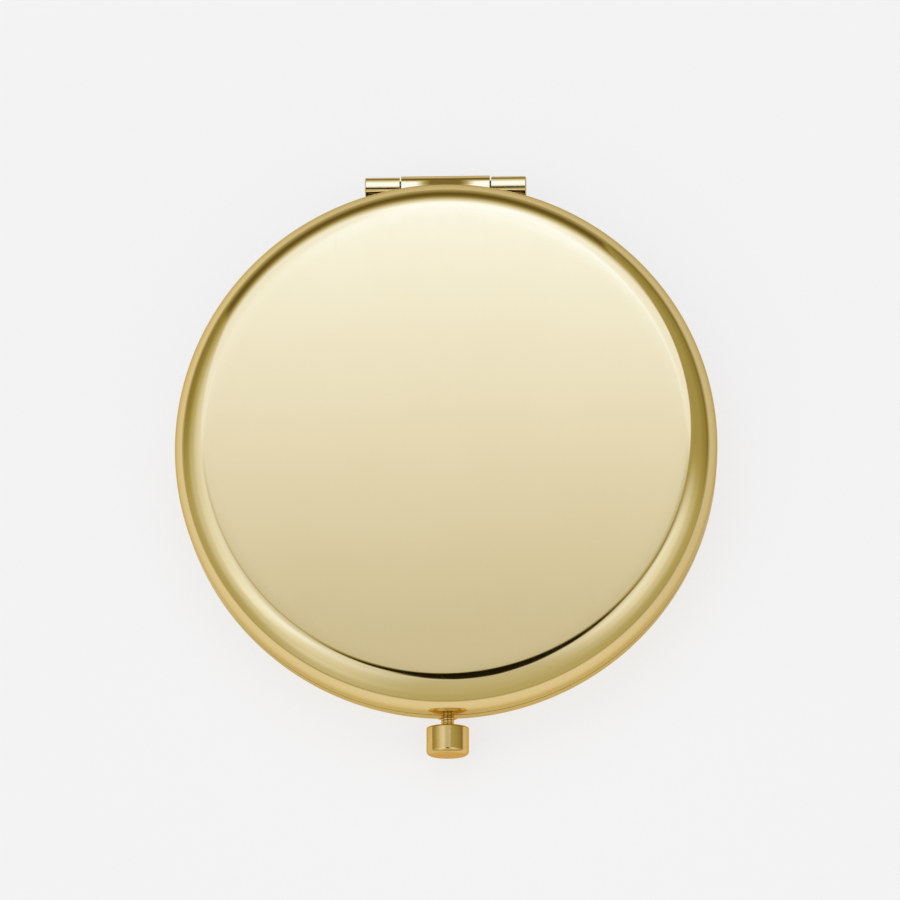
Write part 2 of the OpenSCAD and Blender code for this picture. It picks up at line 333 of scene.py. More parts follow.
def cut(obj: bpy.types.Object, *cutters: Blank, operation: str = "DIFFERENCE") -> None:
    """Takes cutters away from an object, or joins them to it.

    Args:
        obj: the object.
        cutters: the shapes.
        operation: DIFFERENCE or UNION.
    """
    for cutter in cutters:
        tool = cutter.to_object("cutter")
        shape_edit(obj, "BOOLEAN", operation=operation, object=tool, solver="EXACT")
        bpy.data.objects.remove(tool)


def smooth(obj: bpy.types.Object, angle: float = 32) -> None:
    """Shades an object smoothly between edges sharper than an angle in degrees."""
    obj.data.shade_smooth()
    obj.data.set_sharp_from_angle(angle=math.radians(angle))


def true_normals(obj: bpy.types.Object, field: Callable[[Points], Points], close: float = 0.99) -> None:
    """Gives face corners the exact normal of the surface that they lie on, where a formula is known.

    Args:
        obj: the object, already shaded smooth.
        field: gives unit normals for points in millimetres; a wall's inside has their negative.
        close: least cosine between a face and its formula for the formula to hold there.
    """
    mesh = obj.data
    corners, count = len(mesh.loops), len(mesh.polygons)
    vertex, total = np.empty(corners, np.int64), np.empty(count, np.int64)
    place, facing = np.empty(len(mesh.vertices) * 3), np.empty(count * 3)
    shaded = np.empty(corners * 3, np.float32)
    mesh.loops.foreach_get("vertex_index", vertex)
    mesh.polygons.foreach_get("loop_total", total)
    mesh.vertices.foreach_get("co", place)
    mesh.polygons.foreach_get("normal", facing)
    mesh.corner_normals.foreach_get("vector", shaded)
    flat = np.repeat(facing.reshape(-1, 3), total, axis=0)
    exact = field(place.reshape(-1, 3)[vertex] / MM)
    along = (exact * flat).sum(axis=1)
    found = np.abs(along) > close
    normal = shaded.reshape(-1, 3).astype(float)
    normal[found] = exact[found] * np.sign(along[found])[:, None]
    mesh.normals_split_custom_set(normal.tolist())


class Wires:
    """Short ways to add and link nodes in one tree."""

    def __init__(self, tree: bpy.types.NodeTree) -> None:
        """Starts with the node tree to work in."""
        self.tree = tree

    def add(self, kind: str, **values: object) -> bpy.types.Node:
        """Adds a node.

        Args:
            kind: the node's type.
            values: its attributes.

        Returns:
            The node.
        """
        node = self.tree.nodes.new(kind)
        for key, value in values.items():
            setattr(node, key, value)
        return node

    def put(self, value: object, socket: Socket) -> None:
        """Links an output to a socket, or sets the socket to a plain value.

        Args:
            value: the output or the plain value.
            socket: the input that it goes to.
        """
        if isinstance(value, Socket):
            self.tree.links.new(value, socket)
        else:
            socket.default_value = value

    def fill(self, node: bpy.types.Node, **values: object) -> bpy.types.Node:
        """Puts values into a node's inputs.

        Args:
            node: the node.
            values: values by input name, in which an underscore stands for a space.

        Returns:
            The same node.
        """
        for key, value in values.items():
            self.put(value, node.inputs[key.replace("_", " ")])
        return node

    def math(self, operation: str, *values: object, kind: str = "Math", output: str = "Value") -> Socket:
        """Result of a Math or Vector Math node.

        Args:
            operation: what it works out.
            values: its one to three values.
            kind: Math or VectorMath.
            output: name of the output that holds the result.

        Returns:
            The result.
        """
        node = self.add(f"ShaderNode{kind}", operation=operation)
        for value, socket in zip(values, node.inputs):
            self.put(value, socket)
        return node.outputs[output]

    def step(self, value: object, low: object, high: object) -> Socket:
        """0 below low and 1 above high, with a smooth change between."""
        node = self.add("ShaderNodeMapRange", interpolation_type="SMOOTHSTEP")
        return self.fill(node, Value=value, From_Min=low, From_Max=high).outputs[0]

    def spread(self, value: object, low: float, high: float) -> Socket:
        """Takes 0 to 1 to low to high."""
        return self.math("MULTIPLY_ADD", value, high - low, low)

    def around(self, value: object, edge: object, soft: float) -> Socket:
        """0 before an edge and 1 past it, soft by that much to either side."""
        return self.step(value, self.math("SUBTRACT", edge, soft), self.math("ADD", edge, soft))

    def window(self, value: object, low: object, high: object, soft: float) -> Socket:
        """1 between low and high and 0 outside, each edge soft by that much to either side."""
        past = self.math("SUBTRACT", 1, self.around(value, high, soft))
        return self.math("MULTIPLY", self.around(value, low, soft), past)

    def ramp(self, value: object, stops: Stops, low: float, high: float, mode: str = "EASE") -> Socket:
        """Level or colour looked up from stops.

        Args:
            value: where to look.
            stops: pairs of a place and its grey level or colour.
            low: place that the ramp starts at.
            high: place that it ends at.
            mode: how it goes between the stops.

        Returns:
            The ramp's colour.
        """
        node = self.add("ShaderNodeValToRGB")
        ramp = node.color_ramp
        ramp.interpolation = mode
        while len(ramp.elements) < len(stops):
            ramp.elements.new(0.5)
        for element, (place, level) in zip(ramp.elements, stops):
            element.position = (place - low) / (high - low)
            element.color = (*(level if isinstance(level, tuple) else (level,) * 3), 1)
        share = self.math("DIVIDE", self.math("SUBTRACT", value, low), high - low)
        return self.fill(node, Fac=share).outputs[0]

    def blend(self, mask: object, first: object, second: object) -> Socket:
        """Blends two colours.

        Args:
            mask: 0 for the first and 1 for the second.
            first: a colour or an output.
            second: another.

        Returns:
            The blend.
        """
        node = self.add("ShaderNodeMix", data_type="RGBA")
        for value, socket in ((mask, node.inputs[0]), (first, node.inputs[6]), (second, node.inputs[7])):
            self.put((*value, 1) if isinstance(value, tuple) else value, socket)
        return node.outputs[2]

    def xyz(self, vector: Socket) -> list[Socket]:
        """The three coordinates of a vector."""
        return list(self.fill(self.add("ShaderNodeSeparateXYZ"), Vector=vector).outputs)

    def off_axis(self, vector: Socket) -> Socket:
        """Distance of a point from the Z axis."""
        squares = [self.math("MULTIPLY", part, part) for part in self.xyz(vector)[:2]]
        return self.math("SQRT", self.math("ADD", *squares))

    def mapped(self, vector: Socket, kind: str = "POINT", **values: Colour) -> Socket:
        """A vector after a Mapping node with the given Location, Rotation or Scale."""
        return self.fill(self.add("ShaderNodeMapping", vector_type=kind), Vector=vector, **values).outputs[0]

    def noise(self, detail: float, scale: object, **place: Socket) -> Socket:
        """Noise by Vector, or along W alone, with a detail and a scale."""
        node = self.add("ShaderNodeTexNoise", noise_dimensions="1D" if "W" in place else "3D")
        return self.fill(node, Scale=scale, Detail=detail, **place).outputs[0]

    def bump(self, shader: bpy.types.Node, height: Socket, strength: float, distance: float) -> None:
        """Roughens a shader's normal by a height."""
        node = self.fill(self.add("ShaderNodeBump"), Height=height, Strength=strength, Distance=distance)
        self.fill(shader, Normal=node.outputs[0])

    def group(self, tree: bpy.types.NodeTree, **values: object) -> dict[str, Socket]:
        """Places a shared group with values for its inputs, and gives its outputs by name."""
        node = self.fill(self.add("ShaderNodeGroup", node_tree=tree), **values)
        return {socket.name: socket for socket in node.outputs}


def new_group(name: str, inputs: dict[str, str], outputs: dict[str, str]) -> tuple[Wires, object, object]:
    """Starts a shader node group.

    Args:
        name: the group's name.
        inputs: names and socket types of its inputs.
        outputs: names and socket types of its outputs.

    Returns:
        The group's wires, its inputs and its outputs.
    """
    tree = bpy.data.node_groups.new(name, "ShaderNodeTree")
    for sockets, way in ((inputs, "INPUT"), (outputs, "OUTPUT")):
        for label, kind in sockets.items():
            tree.interface.new_socket(name=label, in_out=way, socket_type=kind)
    wires = Wires(tree)
    return wires, wires.add("NodeGroupInput").outputs, wires.add("NodeGroupOutput").inputs


FLOAT, VECTOR = "NodeSocketFloat", "NodeSocketVector"


class Effects:
    """Node groups that several finishes share, each built once."""

    def __init__(self) -> None:
        """Builds the groups."""
        self.drift = self.build_drift()
        self.hairlines = self.build_hairlines()
        self.tool_marks = self.build_tool_marks()

    @staticmethod
    def build_drift() -> bpy.types.NodeTree:
        """Slow and fine cloudiness of a finish.

        Returns:
            The group, with Slow and Fine from 0 to 1.
        """
        wires, inputs, outputs = new_group(
            "finish_drift", {"Vector": VECTOR, "Size": FLOAT}, {"Slow": FLOAT, "Fine": FLOAT}
        )
        scale = wires.math("DIVIDE", 1, inputs["Size"])
        for label, factor, detail in (("Slow", 1.0, 2.0), ("Fine", 9.0, 4.0)):
            cloud = wires.noise(detail, wires.math("MULTIPLY", scale, factor), Vector=inputs["Vector"])
            wires.put(wires.step(cloud, 0.3, 0.7), outputs[label])
        return wires.tree

    @staticmethod
    def build_hairlines() -> bpy.types.NodeTree:
        """Sparse fine scratches in three directions, from stretched noise.

        Returns:
            The group, with Mask 1 on a scratch.
        """
        wires, inputs, outputs = new_group("hairlines", {"Vector": VECTOR, "Scale": FLOAT}, {"Mask": FLOAT})
        total = 0
        for turn, shift in ((0.35, 0.0), (1.32, 0.013), (2.41, 0.029)):
            place = wires.mapped(
                inputs["Vector"], Rotation=(0.21, 0.13, turn), Location=(shift, shift, 0), Scale=(1, 0.02, 1)
            )
            grain = wires.noise(1, inputs["Scale"], Vector=place)
            total = wires.math("MAXIMUM", total, wires.step(grain, 0.73, 0.78))
        wires.put(total, outputs["Mask"])
        return wires.tree

    @staticmethod
    def build_tool_marks() -> bpy.types.NodeTree:
        """Fine rings that a lathe leaves round an axis, uneven in depth.

        Returns:
            The group, with Height from 0 to 1. Its Vector is centred on the axis, which runs along its Z.
        """
        wires, inputs, outputs = new_group(
            "tool_marks", {"Vector": VECTOR, "Pitch": FLOAT}, {"Height": FLOAT}
        )
        place = inputs["Vector"]
        path = wires.math("ADD", wires.off_axis(place), wires.xyz(place)[2])
        wires.put(wires.noise(2, 1, W=wires.math("DIVIDE", path, inputs["Pitch"])), outputs["Height"])
        return wires.tree


class Finish:
    """What every finish shares: a material with Object coordinates and one Principled shader."""

    effects: Effects

    def start(self, name: str, **values: object) -> tuple[bpy.types.Material, Wires, bpy.types.Node, object]:
        """Starts a material.

        Args:
            name: the material's name.
            values: plain values of the shader's own sockets.

        Returns:
            The material, its wires, its shader and its Object coordinates.
        """
        material = bpy.data.materials.new(name)
        material.use_nodes = True
        wires = Wires(material.node_tree)
        shader = wires.fill(material.node_tree.nodes["Principled BSDF"], **values)
        return material, wires, shader, wires.add("ShaderNodeTexCoord").outputs["Object"]


@dataclass(frozen=True)
class GoldPlate(Finish):
    """Bright pale gold plating over polished metal. Its range of painted shade lies along one of the
    coordinates.
    """

    colour: Colour = (0.935, 0.805, 0.525)
    deep: Colour = (0.925, 0.79, 0.505)
    edge: Colour = (0.77, 0.67, 0.41)
    roughness: float = 0.06
    haze: float = 0.085
    cloud: float = 22.0
    ripple: float = 0.0002
    line_scale: float = 900.0
    line_haze: float = 0.04
    marks: float = 0.0
    marks_pitch: float = 0.05
    painted_shade: Colour = (0.30, 0.22, 0.09)
    painted_shade_along: int = 2
    painted_shade_range: Pair | None = None
    painted_shade_soft: float = 0.02

    def material(self, name: str) -> bpy.types.Material:
        """Builds the plating: slow tone drift, painted shade within its range, faint haze and hairlines, and
        tool marks on turned pieces.

        Args:
            name: the material's name.

        Returns:
            The material.
        """
        material, wires, shader, place = self.start(name, Metallic=1.0, Specular_Tint=(*self.edge, 1))
        drift = wires.group(self.effects.drift, Vector=place, Size=self.cloud * MM)
        lines = wires.group(self.effects.hairlines, Vector=place, Scale=self.line_scale)
        tone = wires.blend(drift["Slow"], self.colour, self.deep)
        if self.painted_shade_range:
            # Painted shade: within the range, such as along the seam or on the cap's back, the plating is
            # darkened to stand for the shade between parts
            low, high = (end * MM for end in self.painted_shade_range)
            crease_shade = wires.window(wires.xyz(place)[self.painted_shade_along], low, high, self.painted_shade_soft * MM)
            tone = wires.blend(crease_shade, tone, self.painted_shade)
        haze = wires.spread(wires.math("MULTIPLY", drift["Slow"], drift["Fine"]), self.roughness, self.haze)
        rough = wires.math("MULTIPLY_ADD", lines["Mask"], self.line_haze, haze)
        wires.fill(shader, Base_Color=tone, Roughness=rough)
        height = wires.math("MULTIPLY", drift["Fine"], self.ripple)
        if self.marks:
            # Only the button's pieces are turned, so the marks run round its axis
            middle, upright = (0, 0, LAYOUT.button_z * MM), (math.pi / 2, 0, 0)
            centred = wires.mapped(place, "TEXTURE", Location=middle, Rotation=upright)
            rings = wires.group(self.effects.tool_marks, Vector=centred, Pitch=self.marks_pitch * MM)
            height = wires.math("MULTIPLY_ADD", rings["Height"], self.marks, height)
        wires.bump(shader, height, 1, MM)
        return material


@dataclass(frozen=True)
class SilveredGlass(Finish):
    """Mirror glass: silver behind the face, a frosted green-grey ground edge round it."""

    silver: Colour = (0.85, 0.84, 0.80)
    ground: Colour = (0.50, 0.60, 0.56)
    ground_shade: float = 0.8
    ground_haze: float = 0.4
    dust: Pair = (0.008, 0.022)
    face_r: float = 29.15
    edge_soft: float = 0.02
    cloud: float = 3.0

    def material(self, name: str) -> bpy.types.Material:
        """Builds the glass, told apart by the distance from the case's axis.

        Args:
            name: the material's name.

        Returns:
            The material.
        """
        material, wires, shader, place = self.start(name)
        edge = wires.around(wires.off_axis(place), self.face_r * MM, self.edge_soft * MM)
        drift = wires.group(self.effects.drift, Vector=place, Size=self.cloud * MM)
        shade = tuple(part * self.ground_shade for part in self.ground)
        dust = wires.spread(wires.math("MULTIPLY", drift["Slow"], drift["Fine"]), *self.dust)
        wires.fill(
            shader,
            Base_Color=wires.blend(edge, self.silver, wires.blend(drift["Fine"], self.ground, shade)),
            Metallic=wires.math("SUBTRACT", 1, edge),
            Roughness=wires.math("MULTIPLY_ADD", edge, self.ground_haze, dust),
        )
        return material


@dataclass(frozen=True)
class Foam(Finish):
    """Black adhesive foam."""

    colour: Colour = (0.020, 0.020, 0.022)
    pore: Colour = (0.008, 0.008, 0.009)
    pores: float = 2500.0
    depth: float = 0.1
    strength: float = 0.6

    def material(self, name: str) -> bpy.types.Material:
        """Builds the foam from small pores.

        Args:
            name: the material's name.

        Returns:
            The material.
        """
        material, wires, shader, place = self.start(name)
        pores = wires.fill(wires.add("ShaderNodeTexVoronoi"), Vector=place, Scale=self.pores)
        mask = wires.step(pores.outputs["Distance"], 0.1, 0.6)
        tone = wires.blend(mask, self.pore, self.colour)
        wires.fill(shader, Base_Color=tone, Roughness=wires.spread(mask, 0.95, 0.8))
        wires.bump(shader, mask, self.strength, self.depth * MM)
        return material


@dataclass(frozen=True)
class BareSteel(Finish):
    """Drawn wire or rolled strip, with lines along X."""

    colour: Colour = (0.66, 0.65, 0.63)
    dark: Colour = (0.50, 0.49, 0.47)
    roughness: float = 0.22
    haze: float = 0.12
    stretch: float = 0.03
    grain: float = 0.4
    depth: float = 0.01
    strength: float = 0.25

    def material(self, name: str) -> bpy.types.Material:
        """Builds the steel from noise drawn out along X.

        Args:
            name: the material's name.

        Returns:
            The material.
        """
        material, wires, shader, place = self.start(name, Metallic=1.0)
        drawn = wires.mapped(place, Scale=(self.stretch, 1, 1))
        grain = wires.group(self.effects.drift, Vector=drawn, Size=self.grain * MM)["Fine"]
        rough = wires.spread(grain, self.roughness, self.roughness + self.haze)
        wires.fill(shader, Base_Color=wires.blend(grain, self.colour, self.dark), Roughness=rough)
        wires.bump(shader, grain, self.strength, self.depth * MM)
        return material


class Finishes:
    """The finished materials, one for each kind of surface."""

    def __init__(self) -> None:
        """Builds the shared groups and every material."""
        Finish.effects = Effects()
        # Painted shade: a thin darker band along the seam stands for the shade in the gap between the halves
        seam = (LAYOUT.seam_z - 0.15, LAYOUT.seam_z + 0.15)
        self.shell = GoldPlate(painted_shade_range=seam).material("plated_shell")
        self.tray = GoldPlate(roughness=0.12, haze=0.2, cloud=9, ripple=0.001).material("plated_tray")
        self.leaf = GoldPlate(roughness=0.09, haze=0.14, cloud=4, ripple=0.0006).material("plated_leaf")
        turned_plate = GoldPlate(
            colour=(0.87, 0.67, 0.34), deep=(0.84, 0.63, 0.30), edge=(0.85, 0.66, 0.38),
            roughness=0.13, haze=0.17, cloud=3, ripple=0.0004, marks=0.0006,
        )
        self.turned = turned_plate.material("plated_turned")
        # Painted shade: the cap's back, which faces the wall, is coloured a darker, deeper gold than its
        # side, standing for the shade in the gap between cap and wall
        shaded_back_plate = replace(turned_plate, painted_shade=(0.70, 0.47, 0.03), painted_shade_along=1, painted_shade_range=(-36.34, -36.0))
        self.cap = shaded_back_plate.material("plated_cap")
        self.rivet = GoldPlate(roughness=0.14, haze=0.24, cloud=2, ripple=0.001).material("plated_rivet")
        self.glass = SilveredGlass().material("silvered_glass")
        self.foam = Foam().material("adhesive_foam")
        self.wire = BareSteel((0.20, 0.18, 0.15), (0.12, 0.11, 0.09)).material("oiled_wire")
        self.spring = BareSteel((0.58, 0.59, 0.60), (0.44, 0.45, 0.47), roughness=0.28).material("strip")


@dataclass(frozen=True)
class Dressing:
    """How a finished shape joins the model."""

    material: bpy.types.Material
    slot: Slot
    body: str
    nodes: tuple[str, ...]

    def apply(self, obj: bpy.types.Object) -> None:
        """Gives the piece its material, hides the CAD nodes that it stands for and lets it ride on its body.

        Args:
            obj: the finished piece.
        """
        obj.data.materials.clear()
        obj.data.materials.append(self.material)
        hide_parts(*self.nodes)
        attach(obj, self.body)
        log.info("%s: %d faces on %s", obj.name, len(obj.data.polygons), self.body)


@dataclass
class CaseHalf:
    """One half of the case and what it holds, modelled as the base and turned over for the lid."""

    side: Side
    finishes: Finishes
    rim_round: float = 0.12
    ease_reach: float = 2.0
    ease_lean: float = 0.045
    skirt_r: float = 34.47
    ring_z0: float = 5.54
    tray_t: float = 0.4
    skirt_h: float = 0.9
    bend_r: float = 0.7
    pan_r: float = 29.8
    pan_edge: float = 0.2
    foam_z0: float = 3.19
    foam_t: float = 0.5
    foam_r: float = 28.0
    foam_bulge: float = 0.08
    glass_r: float = 29.5
    glass_t: float = 1.8
    ground: float = 0.35
    hollow_r: float = 600.0
    bush_hole_r: float = 1.36
    rivet_r: float = 0.6
    rivet_gap: float = 0.03
    rivet_head_r: float = 1.14
    rivet_head_h: float = 0.3
    rivet_place_r: float = 32.762

    @property
    def name(self) -> str:
        """Lid or base, as names begin."""
        return self.side.value

    @property
    def rivet_x(self) -> float:
        """Distance of the rivets from the middle."""
        return 7.596 if self.side is Side.BASE else 3.48

    @property
    def rivet_y(self) -> float:
        """Distance of the rivets behind the case's axis."""
        return math.sqrt(self.rivet_place_r**2 - self.rivet_x**2)

    @property
    def leaf_z0(self) -> float:
        """Height of the leaf's far face, under the tray's ring."""
        return LAYOUT.seam_z - (1.26 if self.side is Side.BASE else 1.4)

    @property
    def slot_out_y(self) -> float:
        """Outer end of the hook's slot."""
        return 33.85 if self.side is Side.BASE else 33.25

    def lay(self, blank: Blank) -> Blank:
        """A shape as it lies in this half, from how it lies in the base."""
        return blank.turned_over() if self.side is Side.LID else blank

    def place(self, blank: Blank, name: str) -> bpy.types.Object:
        """Makes an object in this half of a shape as it lies in the base, named after the half."""
        return self.lay(blank).to_object(f"{self.name}_{name}")

    def cut_here(self, obj: bpy.types.Object, *cutters: Blank) -> None:
        """Cuts an object of this half with shapes as they lie in the base."""
        cut(obj, *map(self.lay, cutters))

    def rivet_holes(self, low: float, high: float) -> list[Blank]:
        """Cutters for the two rivet holes.

        Args:
            low: height of their lower ends.
            high: height of their upper ends.

        Returns:
            The cutters.
        """
        hole = plug(self.rivet_r + self.rivet_gap, low, high, Axis.CASE, RIVET_COLUMNS)
        places = [np.array([x, self.rivet_y, 0]) for x in (self.rivet_x, -self.rivet_x)]
        return [replace(hole, points=hole.points + place) for place in places]

    def dress(self, obj: bpy.types.Object, material: bpy.types.Material, slot: Slot, node: str) -> None:
        """Dresses a piece of this half, which rides on its own body."""
        Dressing(material, slot, self.name, (f"{self.name}_{node}",)).apply(obj)

    def shell_normal(self, points: Points) -> Points:
        """Exact normal of the drawn shell: from the nearest point of the flat disc within the shoulder.

        The press leaves no sharp end to the flat, so its last stretch leans outwards by the way's square.

        Args:
            points: points in millimetres.

        Returns:
            Unit normals of the outer surface.
        """
        lid = self.side is Side.LID
        height = LAYOUT.case_h - points[:, 2] if lid else points[:, 2]
        radius = np.maximum(np.hypot(points[:, 0], points[:, 1]), 1e-9)
        out = radius - (LAYOUT.case_r - LAYOUT.shoulder_r)
        share = out / self.ease_reach
        lean = self.ease_lean * np.clip(1 + share, 0, 1) ** 2 * np.clip(1 - share, 0, 1)
        out = np.maximum(out, 0) + lean
        down = np.minimum(height - LAYOUT.shoulder_r, 0)
        length = np.maximum(np.hypot(out, down), 1e-9)
        flat = np.stack([out / length * points[:, 0] / radius, out / length * points[:, 1] / radius], axis=1)
        return np.column_stack([flat, down / length * (-1 if lid else 1)])

    def shell(self) -> None:
        """Drawn shell: flat face, round shoulder, wall and rounded rim, notched for the hinge."""
        r, c, t, rim, e = LAYOUT.case_r, LAYOUT.shoulder_r, LAYOUT.sheet, LAYOUT.rim_z, self.rim_round
        section = outline(
            [(0, 0), (0.35 * r, 0), (0.7 * r, 0)],
            [(r - c - back * self.ease_reach, 0) for back in (1.0, 0.8, 0.6, 0.45, 0.3, 0.15, 0.05)],
            arc((r - c, c), c, -90, 0, 40),
            arc((r - e, rim - e), e, 0, 90, 4),
            [(r - t, rim)],
            arc((r - c, c), c - t, 0, -90, 24),
            [(0.7 * r, t), (0.35 * r, t), (0, t)],
        )
        obj = self.place(turned(section, columns=RING_COLUMNS), "case")
        half, room = LAYOUT.barrel_room_half, LAYOUT.barrel_room_r
        self.cut_here(obj, block((-half, LAYOUT.notch_y, LAYOUT.seam_z - room), (half, r + 2, rim + 2)))
        if self.side is Side.BASE:
            self.cut_here(obj, plug(self.bush_hole_r, r - 3, r + 2, Axis.BUTTON))
        smooth(obj)
        true_normals(obj, self.shell_normal)
        self.dress(obj, self.finishes.shell, Slot.SHEET, "shell")

    def tray(self) -> None:
        """Inner tray: pan, flat ring and skirt, with the hook's slot, the hinge's notch and rivet holes."""
        t, b = self.tray_t, self.bend_r
        top, inner, pan_out = self.ring_z0 + t, b - t, self.pan_r + t
        skirt_in, skirt_z, pan_z = self.skirt_r - t, top - self.skirt_h, self.foam_z0 - t
        bend = (pan_out - b, pan_z + b)
        section = outline(
            [(0, pan_z), (pan_out / 2, pan_z)],
            arc(bend, b, -90, 0, 8),
            [(pan_out, self.ring_z0)],
            arc((skirt_in - inner, self.ring_z0 - inner), inner, 90, 0, 6),
            [(skirt_in, skirt_z), (self.skirt_r, skirt_z)],
            arc((self.skirt_r - b, top - b), b, 0, 90, 10),
            [(self.skirt_r - b - NEAR, top), (self.pan_r + self.pan_edge + NEAR, top)],
            arc((self.pan_r + self.pan_edge, top - self.pan_edge), self.pan_edge, 90, 180, 6),
            [(self.pan_r, top - self.pan_edge - NEAR), (self.pan_r, pan_z + b + NEAR)],
            arc(bend, inner, 0, -90, 6),
            [(pan_out / 2, self.foam_z0), (0, self.foam_z0)],
        )
        obj = self.place(turned(section, columns=RING_COLUMNS), "inner_tray")
        half, slot = LAYOUT.barrel_room_half, LAYOUT.slot_half
        self.cut_here(
            obj,
            plug(LAYOUT.barrel_room_r, -half, half, Axis.HINGE),
            block((-half, LAYOUT.notch_y, pan_z - 1), (half, LAYOUT.case_r + 1, self.ring_z0)),
            block((-slot, -self.slot_out_y, skirt_z), (slot, -LAYOUT.slot_in_y, top + 1)),
            *self.rivet_holes(self.ring_z0 - 1, top + 1),
        )
        smooth(obj)
        self.dress(obj, self.finishes.tray, Slot.SHEET, "tray")

    def foam(self) -> None:
        """Adhesive foam disc whose edge bulges: its radius swells as a half sine over the thickness."""
        z0, z1, half = self.foam_z0, self.foam_z0 + self.foam_t, self.foam_r / 2
        share = np.linspace(0, 1, 9)
        radius = self.foam_r - self.foam_bulge + self.foam_bulge * np.sin(np.pi * share)
        edge = np.stack([radius, z0 + self.foam_t * share], axis=1)
        section = outline([(0, z0), (half, z0)], edge, [(half, z1), (0, z1)])
        obj = self.place(turned(section, columns=FOAM_COLUMNS), "mirror_foam")
        smooth(obj)
        self.dress(obj, self.finishes.foam, Slot.FOAM, "mirror_pad")

    def glass(self) -> None:
        """Round glass with a ground edge; the base's face is hollow by the circle of the hollow's radius."""
        z0 = self.foam_z0 + self.foam_t
        z1, face_r = z0 + self.glass_t, self.glass_r - self.ground
        radius = np.linspace(face_r, 0, 31)
        depth = np.sqrt(self.hollow_r**2 - radius**2) - math.sqrt(self.hollow_r**2 - face_r**2)
        depth = depth if self.side is Side.BASE else np.zeros_like(radius)
        section = outline(
            [(0, z0), (face_r / 2, z0), (self.glass_r, z0), (self.glass_r, z1 - self.ground)],
            np.stack([radius, z1 - depth], axis=1),
        )
        obj = self.place(turned(section, columns=RING_COLUMNS), "glass")
        smooth(obj, 20)
        self.dress(obj, self.finishes.glass, Slot.GLASS, "mirror")

    def rivets(self) -> None:
        """Two rivets with low round heads on both sides."""
        r, head, h = self.rivet_r, self.rivet_head_r, self.rivet_head_h
        z0, z1 = self.leaf_z0, self.ring_z0 + self.tray_t
        dome = (head * head + h * h) / (2 * h)
        spread = math.degrees(math.asin(head / dome))
        section = outline(
            arc((0, z0 - h + dome), dome, -90, -90 + spread, 8),
            [(r, z0), (r, z1)],
            arc((0, z1 + h - dome), dome, 90 - spread, 90, 8),
        )
        one = turned(section, columns=RIVET_COLUMNS)
        pair = [one.points + np.array([side * self.rivet_x, self.rivet_y, 0]) for side in (-1, 1)]
        faces = one.faces + [[v + len(one.points) for v in face] for face in one.faces]
        obj = self.place(Blank(np.concatenate(pair), faces), "rivet_pair")
        smooth(obj)
        self.dress(obj, self.finishes.rivet, Slot.TURNED, "leaf_rivets")

    def build(self) -> None:
        """Builds every piece of this half."""
        self.shell()
        self.tray()
        self.foam()
        self.glass()
        self.rivets()


